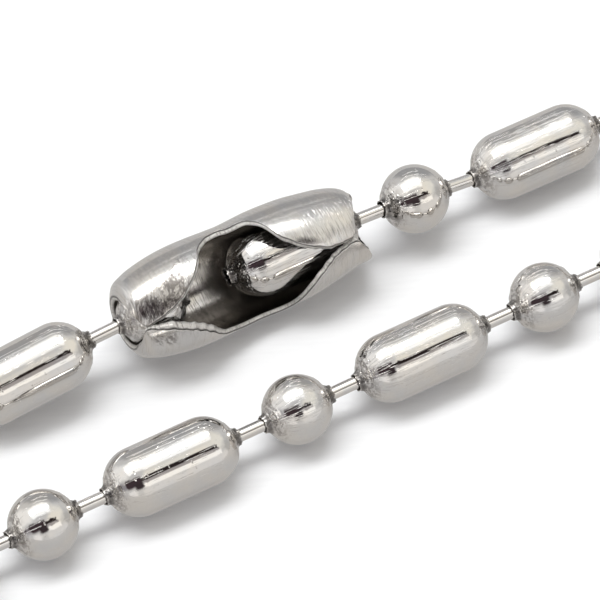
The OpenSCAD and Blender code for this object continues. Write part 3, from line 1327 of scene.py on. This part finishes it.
@dataclass(frozen=True)
class Studio:
    """Camera, floor and soft light round the necklace.

    The camera's distance and its aim are in millimetres, and the floor's and the bump's sizes in metres.
    """

    route: Route
    cards: tuple[Card, ...] = CARDS
    lens: float = 408.8
    sensor: float = 36.0
    clip: tuple[float, float] = (0.01, 20.0)
    back: Triple = (-0.3243, -0.5550, 0.7660)
    distance: float = 235.1
    look_from_bead: tuple[float, float] = (-5.063, -0.81)
    floor_half: float = 4.0
    floor_rough: float = 0.7
    fibre_angle: float = math.radians(24)
    fibre_stretch: Triple = (500.0, 5200.0, 500.0)
    fibre_edge: tuple[float, float] = (0.3, 0.7)
    fibre_height: float = 0.00003
    fibre_strength: float = 0.6
    wall_colour: Triple = (0.71, 0.70, 0.69)
    crease_scale: float = 5.0
    crease_shift: float = 0.30

    def set_camera(self) -> None:
        """Puts the camera where the photograph was taken from."""
        bead = self.route.point(self.route.round_at(0))
        target = Vector((bead[0] + self.look_from_bead[0], bead[1] + self.look_from_bead[1], 0.0))
        back = Vector(self.back).normalized()
        data = bpy.data.cameras.new("camera")
        data.lens, data.sensor_width, data.sensor_fit = self.lens, self.sensor, "HORIZONTAL"
        data.clip_start, data.clip_end = self.clip
        camera = link_object("camera", data)
        camera.location = (target + back * self.distance) * MM
        camera.rotation_mode = "QUATERNION"
        camera.rotation_quaternion = (-back).to_track_quat("-Z", "Y")
        bpy.context.scene.camera = camera

    def paper(self) -> Material:
        """Makes the floor's paper: pale to the camera, and in the steel's reflections a darker grey with an
        even painted glow.

        Returns:
            The material.
        """
        material = bpy.data.materials.new("pale paper")
        material.use_nodes = True
        graph = Graph(material.node_tree)
        at = graph.add("ShaderNodeNewGeometry").outputs["Position"]
        turn = {"Vector": at, "Angle": self.fibre_angle}
        spun = graph.add("ShaderNodeVectorRotate", turn, rotation_type="Z_AXIS").outputs[0]
        stretched = graph.vector("MULTIPLY", spun, self.fibre_stretch)
        fibre = graph.noise(stretched, 1.0, detail=3.0).outputs["Fac"]
        share = graph.ramp(fibre, *self.fibre_edge)
        # Painted reflection: glossy rays see a darker grey floor that glows, the camera sees pale paper
        mirrored = graph.add("ShaderNodeLightPath").outputs["Is Glossy Ray"]
        colour = graph.blend(mirrored, graph.blend(share, *PAPER), graph.blend(share, *PAINTED_REFLECTION_PAPER))
        glow = graph.blend(mirrored, NO_GLOW, PAINTED_REFLECTION_GLOW)
        relief = {"Height": fibre, "Distance": self.fibre_height, "Strength": self.fibre_strength}
        bump = graph.add("ShaderNodeBump", relief)
        shader = graph.add(
            "ShaderNodeBsdfPrincipled",
            {
                "Base Color": colour, "Roughness": self.floor_rough, "Normal": bump.outputs["Normal"],
                "Emission Color": glow, "Emission Strength": 1.0,
            },
        )
        graph.add("ShaderNodeOutputMaterial", {"Surface": shader.outputs[0]})
        return material

    def lay_floor(self) -> None:
        """Lays the pale floor that the chain rests on."""
        half = self.floor_half
        corners = [(-half, -half, 0), (half, -half, 0), (half, half, 0), (-half, half, 0)]
        mesh = bpy.data.meshes.new("floor")
        mesh.from_pydata(corners, [], [(0, 1, 2, 3)])
        mesh.materials.append(self.paper())
        floor = link_object("floor", mesh)

    def set_light(self) -> None:
        """Surrounds the object with pale walls and soft cards of light and dark, their edges creased."""
        world = bpy.data.worlds.new("light tent")
        bpy.context.scene.world = world
        world.use_nodes = True
        graph = Graph(world.node_tree)
        direction = graph.vector("NORMALIZE", graph.add("ShaderNodeTexCoord").outputs["Generated"])
        creases = graph.noise(direction, self.crease_scale, detail=3.0, roughness=0.6).outputs["Color"]
        shift = graph.vector("SUBTRACT", creases, (0.5, 0.5, 0.5))
        shift = graph.vector("MULTIPLY", shift, (self.crease_shift,) * 3)
        direction = graph.vector("ADD", direction, shift)
        colour: object = (*self.wall_colour, 1)
        for card in self.cards:
            colour = card.over(graph, direction, colour)
        background = graph.add("ShaderNodeBackground", {"Color": colour, "Strength": 1.0})
        graph.add("ShaderNodeOutputWorld", {"Surface": background.outputs[0]})
        bpy.context.scene.view_settings.view_transform = "Standard"


class BeadKind(Enum):
    """The kinds of bead: node of the solids, first seed, and the numbers of the well worn ones."""

    ROUND = ("round_beads", 1000, (1, 42, 43, 59, 60))
    BAR = ("bar_beads", 3000, (0, 1, 42, 43))


@dataclass(frozen=True)
class ChainAssembly:
    """All the beads, pins and the connector, as visible pieces."""

    sizes: ChainSizes
    route: Route
    near_reach: float = 15.0
    wear_range: tuple[float, float] = (0.35, 0.6)
    more_wear: float = 0.6
    pin_seed: int = 7000
    near_pin_segments: int = 32
    far_pin_segments: int = 16

    def is_near(self, middle: float) -> bool:
        """Tells whether a bead with this middle lies in or just outside the camera's view."""
        gap = self.route.point(middle)[:2] - np.array(self.route.start[:2])
        return bool((np.abs(gap) < self.near_reach).all())

    def add(self, name: str, surfaces: Sequence[Surface], material: Material, node: str, slot: str) -> None:
        """Makes a piece from its surfaces and ties it to the frame.

        Args:
            name: Name of the piece.
            surfaces: What it is made of.
            material: Its finish.
            node: The node of the solids that it stands for.
            slot: Not used.
        """
        piece = Surface.joined(surfaces).piece(name, material)
        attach(piece, "root")
        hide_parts(node)
        LOG.info("%s: %d parts, %d faces", name, len(surfaces), len(piece.data.polygons))

    def add_beads(self, kind: BeadKind, half: float, at: Callable[[int], float], material: Material) -> None:
        """Makes all the beads of one kind, the near ones finely.

        Args:
            kind: The kind of bead.
            half: Half length of a bead with its necks.
            at: Place along the chain of each bead's middle.
            material: Its finish.
        """
        node, seed, worn = kind.value
        straight = 2 * (half - self.sizes.round_half)
        groups: dict[Detail, list[Surface]] = {Detail.NEAR: [], Detail.FAR: []}
        for index in range(self.sizes.pairs):
            rng = np.random.default_rng(seed + index)
            middle = at(index)
            place = Place(self.route.point(middle - half), self.route.point(middle + half))
            detail = Detail.NEAR if self.is_near(middle) else Detail.FAR
            wear = float(rng.uniform(*self.wear_range)) + (self.more_wear if index in worn else 0.0)
            groups[detail].append(Bead(self.sizes, straight, detail).build(place, rng, wear))
        self.add(f"{node}_by_connector", groups[Detail.NEAR], material, node, "bead_steel")
        self.add(f"{node}_round_loop", groups[Detail.FAR], material, node, "bead_steel")

    def add_pins(self, material: Material) -> None:
        """Makes the pins on both sides of every round bead, but none through the connector.

        Args:
            material: Their finish.
        """
        sizes, route = self.sizes, self.route
        surfaces = []
        for index in range(sizes.pairs):
            rng = np.random.default_rng(self.pin_seed + index)
            ball = (route.round_at(index), sizes.round_half)
            bars = [(route.bar_at(bar), sizes.bar_half) for bar in (index, index + 1)]
            segments = self.near_pin_segments if self.is_near(ball[0]) else self.far_pin_segments
            links = [(bars[0], ball), (ball, bars[1])]
            for before, after in links if index < sizes.pairs - 1 else links[:1]:
                first, second = route.pivot(*before, 1), route.pivot(*after, -1)
                middle = (first + second) / 2
                reach = (second - first) / np.linalg.norm(second - first) * sizes.pin_len / 2
                surfaces.append(Pin(sizes).build(Place(middle - reach, middle + reach), rng, segments))
        self.add("link_pins_wire", surfaces, material, "link_pins", "pin_steel")

    def add_connector(self, material: Material) -> None:
        """Makes the connector."""
        made = Connector(self.sizes, self.route).build()
        self.add("connector_sheet", [made], material, "connector", "connector_steel")


def main() -> None:
    """Builds the necklace and its studio."""
    logging.basicConfig(level=logging.INFO, format="%(message)s")
    sizes = ChainSizes()
    route = Route(sizes)
    studio = Studio(route)
    studio.set_camera()
    effects = MetalEffects()
    bead_steel = BEAD_STEEL.make(effects)
    chain = ChainAssembly(sizes, route)
    chain.add_beads(BeadKind.ROUND, sizes.round_half, route.round_at, bead_steel)
    chain.add_beads(BeadKind.BAR, sizes.bar_half, route.bar_at, bead_steel)
    chain.add_pins(PIN_STEEL.make(effects))
    chain.add_connector(CONNECTOR_STEEL.make(effects))
    studio.lay_floor()
    studio.set_light()


if __name__ == "__main__":
    main()
